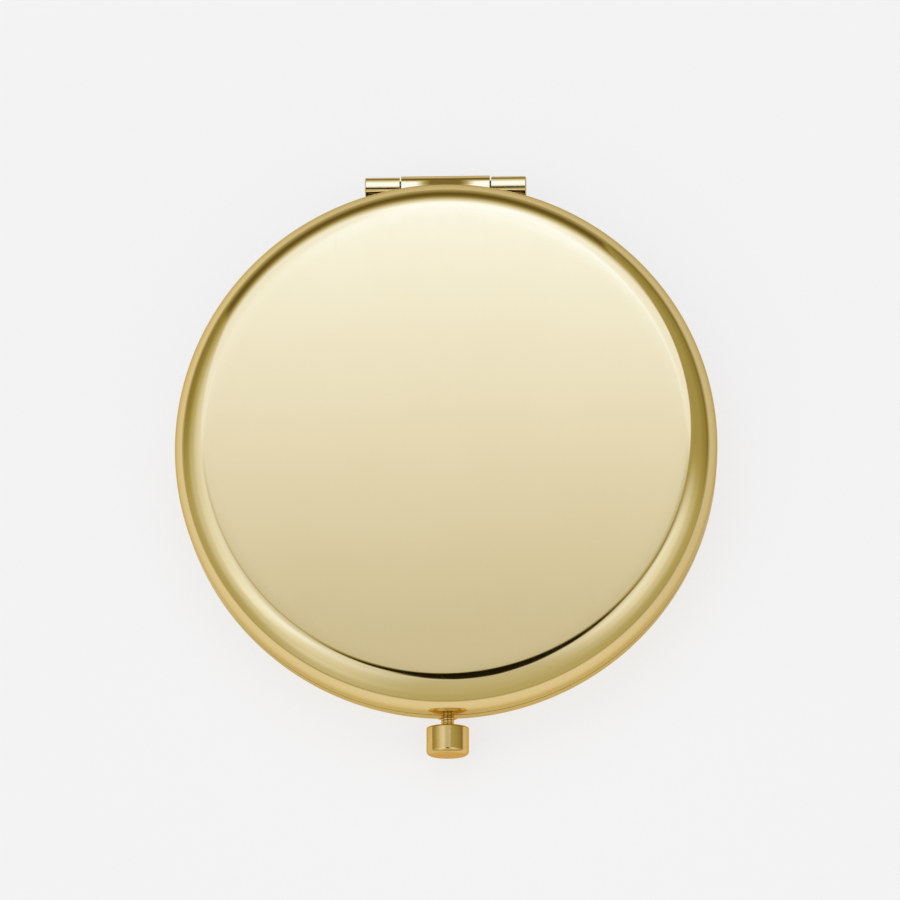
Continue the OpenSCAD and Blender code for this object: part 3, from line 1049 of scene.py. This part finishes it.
@dataclass
class Hinge:
    """Two riveted leaves rolled round one pin."""

    finishes: Finishes
    half_len: float = 10.55
    side_x: float = 6.0
    middle_half: float = 5.8
    side_bore: float = 0.76
    side_r: float = 1.26
    middle_bore: float = 0.80
    middle_r: float = 1.397
    end_round: float = 0.2
    pin_r: float = 0.75
    pin_edge: float = 0.12
    curl_gap: float = 4.0
    leaf_in_r: float = 30.7
    tab_y: float = 33.95
    tab_edge: float = 0.05
    roll_steps: int = 96
    press_angle: float = 23.5
    press_x: Pair = (1.8, 5.6)
    press_table: tuple[Pair, ...] = (
        (-180, -180), (-90, -90), (-45, -38), (-22, -6), (25, 17), (37, 23), (48, 40), (70, 70), (180, 180)
    )

    def leaf(self, bore: float, outer: float, half: float, edge: float) -> Blank:
        """A leaf: flat from the tray's pan to the axis, then rolled round the pin until its end is near it.

        Args:
            bore: inner radius of the roll.
            outer: its outer radius.
            half: half of the leaf's length along X.
            edge: radius of the outer edges.

        Returns:
            The leaf as it lies in the base.
        """
        centre = np.array([LAYOUT.hinge_y, LAYOUT.seam_z])
        across = strip_section(half, outer - bore, edge)
        flat_y = np.linspace(self.leaf_in_r - 2, LAYOUT.hinge_y, 6)[:-1]
        flat = np.stack([flat_y, np.full_like(flat_y, LAYOUT.seam_z - bore)], axis=1)
        curl_end = 180 + math.degrees(math.asin(bore / outer)) - self.curl_gap
        angle = np.radians(np.linspace(-90, curl_end, self.roll_steps))
        roll = np.stack([np.cos(angle), np.sin(angle)], axis=1)
        path = np.concatenate([flat, centre + bore * roll])
        normal = np.concatenate([np.tile([0.0, -1.0], (len(flat), 1)), roll])
        return ribbon(path, normal, across)

    def barrel_normal(self, points: Points) -> Points:
        """Normal of the knuckles, which the closing press leaves a little flatter on top than round.

        For the outer knuckles the angle from upright is looked up from the round knuckle's own. The long one
        leans back by at least the press angle in its middle, fading by a smooth step of x towards its ends.

        Args:
            points: points in millimetres.

        Returns:
            Unit normals of the outer surface.
        """
        x, y, z = np.abs(points[:, 0]), points[:, 1] - LAYOUT.hinge_y, points[:, 2] - LAYOUT.seam_z
        turn = np.degrees(np.arctan2(y, z))
        share = np.clip((x - self.press_x[0]) / (self.press_x[1] - self.press_x[0]), 0, 1)
        lean = self.press_angle * (1 - share * share * (3 - 2 * share)) * (z > 0) * (y > -0.5)
        round_turn = np.where(z > 0, np.maximum(turn, lean), turn)
        long_turn = np.where((y < 0) & (z > 0), lean, round_turn)
        outer_turn = np.interp(turn, *np.array(self.press_table).T)
        angle = np.radians(np.where(x > self.middle_half + 0.1, outer_turn, long_turn))
        return np.column_stack([np.zeros_like(angle), np.sin(angle), np.cos(angle)])

    def fit(self, half: CaseHalf, leaf: Blank, *gaps: Blank) -> None:
        """Fits a leaf to its half: trims it round along the tray's pan, cuts its rivet holes and dresses it.

        Args:
            half: the half that the leaf is riveted to.
            leaf: the uncut leaf.
            gaps: further cutters.
        """
        low, high = LAYOUT.seam_z - 3, LAYOUT.seam_z
        obj = half.place(leaf, "hinge_strip")
        pan = plug(self.leaf_in_r, low, high, Axis.CASE, RING_COLUMNS)
        half.cut_here(obj, *gaps, pan, *half.rivet_holes(low, high))
        smooth(obj)
        true_normals(obj, self.barrel_normal, 0.9)
        half.dress(obj, self.finishes.leaf, Slot.SHEET, "hinge_leaf")

    def pin(self) -> None:
        """Hinge pin with both ends lightly rounded."""
        r, end, e = self.pin_r, self.half_len, self.pin_edge
        section = outline(
            [(0, -end), (r - e, -end)],
            arc((r - e, -end + e), e, -90, 0, 4),
            [(r, NEAR + e - end), (r, end - e - NEAR)],
            arc((r - e, end - e), e, 0, 90, 4),
            [(0, end)],
        )
        obj = turned(section, Axis.HINGE).to_object("hinge_wire")
        smooth(obj)
        Dressing(self.finishes.wire, Slot.WIRE, "base", ("hinge_pin",)).apply(obj)

    def build(self, base: CaseHalf, lid: CaseHalf) -> None:
        """Builds the hinge between the halves.

        Args:
            base: the lower half, whose leaf loses its middle and keeps the two outer knuckles.
            lid: the upper half, whose leaf has the long middle knuckle.
        """
        gap = block((-self.side_x, self.tab_y, 0), (self.side_x, 40, LAYOUT.case_h))
        self.fit(base, self.leaf(self.side_bore, self.side_r, self.half_len, self.end_round), gap)
        self.fit(lid, self.leaf(self.middle_bore, self.middle_r, self.middle_half, self.tab_edge))
        self.pin()


@dataclass
class PushButton:
    """Turned cap, threaded stem, nut and the bush in the wall. Lengths run outwards from the case's axis."""

    finishes: Finishes
    cap_in: float = 36.1
    cap_len: float = 3.75
    cap_r: float = 2.725
    cap_edge: float = 0.55
    cap_chamfer: float = 0.18
    dome_r: float = 17.0
    bore_share: float = 0.7
    pip_r: float = 0.16
    pip_h: float = 0.06
    pip_edge: float = 0.05
    stem_r: float = 0.85
    thread_pitch: float = 0.34
    thread_depth: float = 0.035
    thread_gap: float = 0.02
    thread_root: float = 0.4
    thread_fade: Pair = (0.3, 0.2)
    thread_rows: int = 190
    stem_gap: float = 0.05
    head_in: float = 32.3
    head_t: float = 0.5
    head_r: float = 1.35
    head_edge: float = 0.1
    slot_w: float = 0.35
    slot_share: float = 0.45
    nut_in: float = 33.1
    nut_t: float = 0.7
    nut_flats: float = 2.6
    nut_chamfer: tuple[Pair, ...] = ((-0.14, 0.0), (-0.06, 0.04), (0.0, 0.12))
    bush_in: float = 33.9
    bush_len: float = 1.0
    bush_bore: float = 0.92
    bush_r: float = 1.34
    bush_chamfer: float = 0.08

    def ride(self, obj: bpy.types.Object, node: str, body: str = "button") -> None:
        """Dresses a turned piece of the button."""
        material = self.finishes.cap if node == "button_cap" else self.finishes.turned
        Dressing(material, Slot.TURNED, body, (node,)).apply(obj)

    def cap(self) -> None:
        """Cap: chamfered skirt, straight wall, rounded edge, low dome and a centre pip, bored from inside."""
        r, e, ch = self.cap_r, self.cap_edge, self.cap_chamfer
        y0, y1 = self.cap_in, self.cap_in + self.cap_len
        bore, deep = self.stem_r + self.thread_gap, y0 + self.bore_share * self.cap_len
        radius, pip_e = np.linspace(r - e, self.pip_r + 0.04, 12), self.pip_edge
        dome = y1 - self.dome_r + np.sqrt(self.dome_r**2 - radius**2)
        drop = y1 - dome[0]
        tip = self.pip_h + y1
        section = outline(
            [(0, deep), (bore, deep), (bore, y0), (r - ch - NEAR, y0)],
            arc((r - ch, y0 + ch), ch, -90, 0, 4),
            [(r, y0 + ch + NEAR), (r, y1 - e - drop - NEAR)],
            arc((r - e, y1 - e - drop), e, 0, 88, 14),
            np.stack([radius, dome], axis=1),
            arc((self.pip_r - pip_e, tip - pip_e), pip_e, 0, 90, 4),
            [(0, tip)],
        )
        obj = turned(section, Axis.BUTTON, FINE_COLUMNS).to_object("cap")
        smooth(obj)
        self.ride(obj, "button_cap")

    def stem(self) -> None:
        """Stem: a head, and a thread whose radius falls and rises with length less the turn's pitch share."""
        e, y_head = self.head_edge, self.head_in + self.head_t
        y_end = self.cap_in + self.bore_share * self.cap_len - self.stem_gap
        head = outline([(0, self.head_in)], arc((self.head_r - e, self.head_in + e), e, -90, 0, 4))
        length = np.linspace(y_head, y_end, self.thread_rows)
        radius = np.concatenate([head[:, 0], [self.head_r], np.full(len(length), self.stem_r), [0]])
        along = np.concatenate([head[:, 1], [y_head], length, [y_end]])
        blank = turned(np.stack([radius, along], axis=1), Axis.BUTTON, HOLE_COLUMNS)
        rows = len(radius)
        grid = blank.points.reshape(rows, HOLE_COLUMNS, 3)
        turn = np.linspace(0, 1, HOLE_COLUMNS, endpoint=False)[None, :]
        first, last = len(head) + 1, rows - 1
        phase = (length[:, None] / self.thread_pitch - turn) % 1
        ridge = np.clip(2 * (1 - np.abs(2 * phase - 1)) - self.thread_root, 0, 1)
        start, stop = self.thread_fade
        fade = np.clip((length - y_head) / start, 0, 1) * np.clip((y_end - length) / stop, 0, 1)
        scale = 1 - self.thread_depth / self.stem_r * (1 - ridge) * fade[:, None]
        grid[first:last, :, 0] *= scale
        grid[first:last, :, 2] = (grid[first:last, :, 2] - LAYOUT.button_z) * scale + LAYOUT.button_z
        obj = blank.to_object("threaded_stem")
        wide, deep = self.head_r + 1, self.head_in + self.slot_share * self.head_t
        low, high = LAYOUT.button_z - self.slot_w / 2, LAYOUT.button_z + self.slot_w / 2
        cut(obj, block((-wide, -deep, low), (wide, 1 - self.head_in, high)))
        smooth(obj, 40)
        self.ride(obj, "button_stem")

    def nut(self) -> None:
        """Thin nut: the hexagon's radius round the turn, kept within a cone at both ends."""
        bore, corner = self.stem_r + self.thread_gap, self.nut_flats / 2 / math.cos(math.pi / 6)
        near = outline([(bore, 0)], np.array([(corner, 0)]) + self.nut_chamfer)
        far = near[::-1] * (1, -1) + (0, self.nut_t)
        limit, length = (np.concatenate([near, far]) + (0, self.nut_in)).T
        blank = turned(np.stack([limit, length], axis=1), Axis.BUTTON, FINE_COLUMNS, ring=True)
        grid = blank.points.reshape(len(length), FINE_COLUMNS, 3)
        turn = np.linspace(0, 2 * np.pi, FINE_COLUMNS, endpoint=False)
        hexagon = self.nut_flats / 2 / np.cos((turn + np.pi / 6) % (np.pi / 3) - np.pi / 6)
        radius = np.minimum(limit[:, None], hexagon)
        grid[..., 0] = radius * np.cos(turn + np.pi / 6)
        grid[..., 2] = radius * np.sin(turn + np.pi / 6) + LAYOUT.button_z
        obj = blank.to_object("thin_nut")
        smooth(obj, 25)
        self.ride(obj, "stem_nut")

    def bush(self) -> None:
        """Guide bush, chamfered outside at both ends and inside at its outer end."""
        y0, y1, e = self.bush_in, self.bush_in + self.bush_len, self.bush_chamfer
        section = outline(
            [(self.bush_bore, y0), (self.bush_r - e, y0), (self.bush_r, y0 + e), (self.bush_r, y1 - e)],
            [(self.bush_r - e, y1), (self.bush_bore + e, y1), (self.bush_bore, y1 - e)],
        )
        obj = turned(section, Axis.BUTTON, ring=True).to_object("guide_bush")
        smooth(obj, 25)
        self.ride(obj, "stem_bush", "base")

    def build(self) -> None:
        """Builds the button."""
        self.cap()
        self.stem()
        self.nut()
        self.bush()


@dataclass
class Latch:
    """Bowed spring strip with the hook: its ends stay on the wall, its middle goes in with the button."""

    finishes: Finishes
    thick: float = 0.2
    edge: float = 0.03
    half_angle: float = 20.0
    flat_share: float = 0.24
    wall_share: float = 0.74
    mid_r: float = 32.95
    end_r: float = 34.3446
    z_top: float = 4.99
    z_mid: float = 2.31
    z_end: float = 4.0
    half_width: float = 11.97
    taper_shares: Pair = (0.3, 0.68)
    bend_x: Pair = (10.4, 2.9)
    hook_half: float = 1.5
    hook_in: float = 32.85
    hook_tip: float = 33.65
    hook_z: float = 7.14
    nose_h: float = 0.25
    hook_h: float = 0.7
    hole_r: float = 0.92

    def plan(self, angle: Points, off: float) -> tuple[Points, Points]:
        """Plan of the strip: a straight middle eased into the wall's circle by a smooth step of the angle.

        Args:
            angle: angles from the middle in degrees.
            off: distance outwards from the strip's middle.

        Returns:
            The x and y of each point.
        """
        a = np.radians(angle)
        flat, wall = self.flat_share * self.half_angle, self.wall_share * self.half_angle
        s = np.clip((np.abs(angle) - flat) / (wall - flat), 0, 1)
        s = s * s * (3 - 2 * s)
        r = (1 - s) * self.mid_r / np.cos(a) + s * self.end_r
        x = r * np.sin(a) + off * s * np.sin(a)
        y = -r * np.cos(a) - off * (s * np.cos(a) + 1 - s)
        return x, y

    def strip(self, start: float, stop: float, steps: int) -> Blank:
        """A stretch of the strip between two angles, its lower edge tapered up towards the ends.

        Args:
            start: first angle.
            stop: last angle.
            steps: stretches between.

        Returns:
            The closed stretch.
        """
        angle = np.linspace(start, stop, steps + 1)
        half, e = self.thick / 2, self.edge
        middle_x = np.abs(self.plan(angle, 0)[0]) / self.half_width
        low = np.interp(middle_x, self.taper_shares, (self.z_mid, self.z_end))
        ring = [(-half, 0, e), (-half + e, 0, 0), (half - e, 0, 0), (half, 0, e)]
        ring += [(half, 1, -e), (half - e, 1, 0), (-half + e, 1, 0), (-half, 1, -e)]
        columns = []
        for off, top, lift in ring:
            x, y = self.plan(angle, off)
            columns.append(np.stack([x, y, (np.full_like(low, self.z_top) if top else low) + lift], axis=1))
        points = np.stack(columns, axis=1)
        return Blank(points.reshape(-1, 3), flipped(tube_faces(*points.shape[:2])))

    def hook(self) -> Blank:
        """Hook: a bent-up tongue with a sloped nose, the same outline at both sides.

        Returns:
            The closed tongue.
        """
        y0, y1, z = self.hook_in, self.hook_in + self.thick, self.hook_z
        side = np.array([
            (y0, self.z_top - 1), (y1, self.z_top - 1), (y1, z), (self.hook_tip, z),
            (self.hook_tip, z + self.nose_h), (y1, z + self.hook_h), (y0, z + self.hook_h),
        ])
        points = [np.column_stack([np.full(len(side), x), -side[:, 0], side[:, 1]]) for x in (-1, 1)]
        points = np.concatenate(points) * np.array([self.hook_half, 1, 1])
        return Blank(points, flipped(tube_faces(2, len(side))))

    def build(self) -> None:
        """Builds the middle with the hook, which rides on the button, and the two arms."""
        flat, corner = self.flat_share * self.half_angle, math.radians(50)
        obj = self.strip(-flat, flat, 12).to_object("latch_middle")
        cut(obj, self.hook(), operation="UNION")
        cut(obj, plug(self.hole_r, self.mid_r - 3, self.mid_r + 3, Axis.BUTTON))
        shape_edit(obj, "BEVEL", width=self.edge * MM, segments=2, limit_method="ANGLE", angle_limit=corner)
        smooth(obj, 40)
        Dressing(self.finishes.spring, Slot.SPRING, "button", ("latch_spring",)).apply(obj)
        for side, name in ((-1, "latch_arm_left"), (1, "latch_arm_right")):
            span = sorted((side * flat, side * self.half_angle))
            arm = self.strip(span[0], span[1], 60).to_object(name)
            smooth(arm, 40)
            arm.data.materials.append(self.finishes.spring)
            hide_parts("latch_spring")
            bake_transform(arm)
            log.info("%s: %d faces bending from base to button", name, len(arm.data.polygons))


@dataclass(frozen=True)
class Studio:
    """Pale floor, soft light by direction and the camera of the photograph.

    The light's tables pair an angle in degrees with a level, a factor or a reach, and a level with its tint.
    The zenith angle runs from straight above, the bearing from the right towards the hinge.
    """

    floor_tone: float = 0.35
    floor_glow: Colour = (0.682, 0.689, 0.725)
    near_glow: Colour = (0.56, 0.49, 0.335)
    far_glow: Colour = (0.22, 0.16, 0.0)
    floor_r: float = 30000.0
    glow_in_metal: Pair = (75.0, 190.0)
    room_levels: Stops = (
        (0, 0.62), (10, 0.72), (22, 0.90), (38, 0.84), (55, 0.66), (76, 0.47), (86, 0.45), (96, 0.54)
    )
    panel_levels: Stops = (
        (8, 0.46), (10.9, 0.625), (12.2, 0.645), (12.8, 0.705), (14.45, 0.86), (16.3, 1.02), (16.8, 1.075),
        (17.2, 1.10), (25, 1.14), (38, 1.09), (48, 0.76), (56, 0.44), (64, 0.20), (74, 0.12), (82, 0.22),
        (94, 0.45),
    )
    panel_limits: Stops = (
        (31, 0.93), (45, 0.935), (60, 0.95), (72, 1.0), (86, 1.12), (96, 1.125), (106, 0.99), (118, 0.955),
        (136, 0.92), (145, 0.87),
    )
    high_factors: Stops = (
        (-180, 0.98), (-158, 1.12), (-135, 0.94), (-110, 0.95), (-60, 1.0), (110, 1.0), (140, 0.93),
        (160, 0.93), (180, 0.98),
    )
    flag_levels: Stops = ((13, 0.28), (20, 0.40), (55, 0.39), (75, 0.32), (88, 0.23), (96, 0.4))
    hood_reach: Stops = (
        (-180, 7.6), (-150, 6.3), (-125, 8.4), (-105, 11), (-90, 13), (-75, 14), (-60, 12.3), (-30, 9.9),
        (0, 10), (30, 10), (60, 7.6), (80, 8.2), (100, 9.2), (130, 7.8), (157, 8.8), (180, 7.6),
    )
    tints: Stops = (
        (0.0, (0.0, 0.0, 0.0)), (0.15, (0.15, 0.105, 0.03)), (0.30, (0.29, 0.245, 0.08)),
        (0.45, (0.45, 0.40, 0.18)), (0.60, (0.60, 0.575, 0.46)), (0.72, (0.72, 0.71, 0.645)),
        (0.84, (0.84, 0.85, 0.845)), (1.0, (0.98, 1.06, 1.22)), (1.05, (1.046, 1.167, 1.43)),
        (1.1, (1.07, 1.22, 1.62)), (1.2, (1.12, 1.30, 1.75)),
    )
    warmth: Colour = (1.0, 0.975, 0.84)
    lens: float = 216.2
    sensor: float = 36.0
    target: tuple[float, float, float] = (0.45, 0.16, 5.4)
    tilt: float = 14.3
    turn: float = 7.0
    distance: float = 700.0
    roll: float = -0.15

    def camera(self) -> None:
        """Places the camera: straight above, tipped towards the button by tilt and turned aside by turn."""
        tilt, turn, roll = math.radians(self.tilt), math.radians(self.turn), math.radians(self.roll)
        out = Vector((math.sin(tilt) * math.sin(turn), -math.sin(tilt) * math.cos(turn), math.cos(tilt)))
        up = (Vector((0, 1, 0)) - out * out.y).normalized()
        right = up.cross(out)
        x_axis = right * math.cos(roll) + up * math.sin(roll)
        y_axis = up * math.cos(roll) - right * math.sin(roll)
        data = bpy.data.cameras.new("camera")
        data.lens, data.sensor_width, data.clip_start, data.clip_end = self.lens, self.sensor, 0.01, 100
        obj = bpy.data.objects.new("camera", data)
        bpy.context.scene.collection.objects.link(obj)
        place = Matrix((x_axis, y_axis, out)).transposed().to_4x4()
        place.translation = (Vector(self.target) + out * self.distance) * MM
        obj.matrix_world = place
        bpy.context.scene.camera = obj

    def floor(self) -> None:
        """Pale floor: matt, with a glow for the camera and glass, and near the object for metal too."""
        blank = turned(np.array([(0, 0), (self.floor_r, 0)]), columns=HOLE_COLUMNS)
        obj = replace(blank, faces=flipped(blank.faces)).to_object("floor")
        material = bpy.data.materials.new("floor")
        material.use_nodes = True
        wires = Wires(material.node_tree)
        path = wires.add("ShaderNodeLightPath").outputs
        place = wires.add("ShaderNodeTexCoord").outputs["Object"]
        reach = wires.math("LENGTH", place, kind="VectorMath")
        near, far = (end * MM for end in self.glow_in_metal)
        metal = wires.blend(wires.step(reach, near, far), self.near_glow, self.far_glow)
        # The floor dims a little towards the flag's side
        side = wires.math("DOT_PRODUCT", place, (1, 1, 0), kind="VectorMath")
        dim = wires.math("MULTIPLY", wires.step(side, -20 * MM, 55 * MM), 0.2)
        metal = wires.blend(dim, metal, (0.0, 0.0, 0.0))
        seen = wires.math("MAXIMUM", path["Is Camera Ray"], path["Is Glossy Ray"])
        wires.fill(
            material.node_tree.nodes["Principled BSDF"],
            Base_Color=(self.floor_tone, self.floor_tone, self.floor_tone, 1),
            Roughness=1,
            Specular_IOR_Level=0,
            Emission_Color=wires.blend(path["Is Glossy Ray"], self.floor_glow, metal),
            Emission_Strength=wires.math("MAXIMUM", seen, path["Is Transmission Ray"]),
        )
        obj.data.materials.append(material)

    def world(self) -> None:
        """Soft light by direction: its level from angles, then its tint, cool in light and warm in shade."""
        world = bpy.data.worlds.new("studio")
        world.use_nodes = True
        wires = Wires(world.node_tree)
        x, y, z = wires.xyz(wires.add("ShaderNodeTexCoord").outputs["Generated"])
        zenith = wires.math("DEGREES", wires.math("ARCCOSINE", wires.math("MINIMUM", z, 0.999999)))
        bearing = wires.math("DEGREES", wires.math("ARCTAN2", y, x))
        room = wires.ramp(zenith, self.room_levels, 0, 100)
        # Near the top the panel's level follows the height over the case's back, lower down the zenith angle
        rise = wires.math("DEGREES", wires.math("ARCTAN2", y, z))
        rise = wires.blend(wires.step(zenith, 20, 40), rise, zenith)
        panel = wires.ramp(rise, self.panel_levels, 0, 100, "LINEAR")
        panel = wires.math("MINIMUM", panel, wires.ramp(bearing, self.panel_limits, -180, 180))
        # The camera's side of the room is darker, and so is the foot of the wall left of the panel
        front = wires.math("MULTIPLY", wires.window(bearing, -118, -42, 22), wires.step(zenith, 10, 18))
        room = wires.blend(wires.math("MULTIPLY", front, 0.8), room, (0.50, 0.50, 0.50))
        foot = wires.math("MULTIPLY", wires.window(bearing, 125, 168, 16), wires.step(zenith, 28, 75))
        room = wires.math("MULTIPLY", room, wires.spread(foot, 1.0, 0.62))
        # High up the room is brightest to the left of the camera, lower down in front of that
        high = wires.ramp(bearing, self.high_factors, -180, 180)
        low = wires.spread(wires.window(bearing, -142, -112, 16), 1.0, 1.22)
        room = wires.math("MULTIPLY", room, wires.blend(wires.step(zenith, 38, 62), high, low))
        # The bright panel stands behind the hinge, its right edge leaning outwards lower down
        right_edge = wires.math("MULTIPLY_ADD", wires.step(zenith, 25, 68), 26.0, 35.0)
        left_edge = wires.math("MULTIPLY_ADD", wires.step(zenith, 22, 46), -7.0, 144.0)
        in_panel = wires.window(bearing, right_edge, left_edge, 1.5)
        level = wires.blend(in_panel, room, panel)
        # A dark flag stands to the right of it and fades out towards the side
        soft_edge = wires.math("MULTIPLY_ADD", wires.step(zenith, 20, 60), -13.0, 16.0)
        beside = wires.math("SUBTRACT", 1, wires.around(bearing, right_edge, 2))
        flag = wires.math("MULTIPLY", wires.around(bearing, soft_edge, 12), beside)
        flag = wires.math("MULTIPLY", flag, wires.step(zenith, 8, 11))
        level = wires.blend(flag, level, wires.ramp(zenith, self.flag_levels, 0, 100))
        # The camera and its hood hang overhead: a soft dark shape whose reach changes round the compass
        past = wires.math("SUBTRACT", zenith, wires.ramp(bearing, self.hood_reach, -180, 180))
        level = wires.math("MULTIPLY", level, wires.spread(wires.step(past, -1.8, 1.8), 0.015, 1.0))
        tint = wires.ramp(level, self.tints, 0, 1.2, "LINEAR")
        # The room is warmer than the panel
        warm = wires.math("MULTIPLY", wires.math("SUBTRACT", 1, in_panel), wires.step(zenith, 14, 45))
        warm = wires.blend(warm, (1.0, 1.0, 1.0), self.warmth)
        light = wires.math("MULTIPLY", tint, warm, kind="VectorMath", output="Vector")
        wires.fill(world.node_tree.nodes["Background"], Color=light)
        bpy.context.scene.world = world

    def build(self) -> None:
        """Sets the scene up."""
        self.camera()
        self.floor()
        self.world()
        bpy.context.scene.view_settings.view_transform = "Standard"


def main() -> None:
    """Builds the studio and every piece."""
    logging.basicConfig(level=logging.INFO, format="%(message)s")
    Studio().build()
    finishes = Finishes()
    base, lid = CaseHalf(Side.BASE, finishes), CaseHalf(Side.LID, finishes)
    base.build()
    lid.build()
    Hinge(finishes).build(base, lid)
    PushButton(finishes).build()
    Latch(finishes).build()


if __name__ == "__main__":
    main()
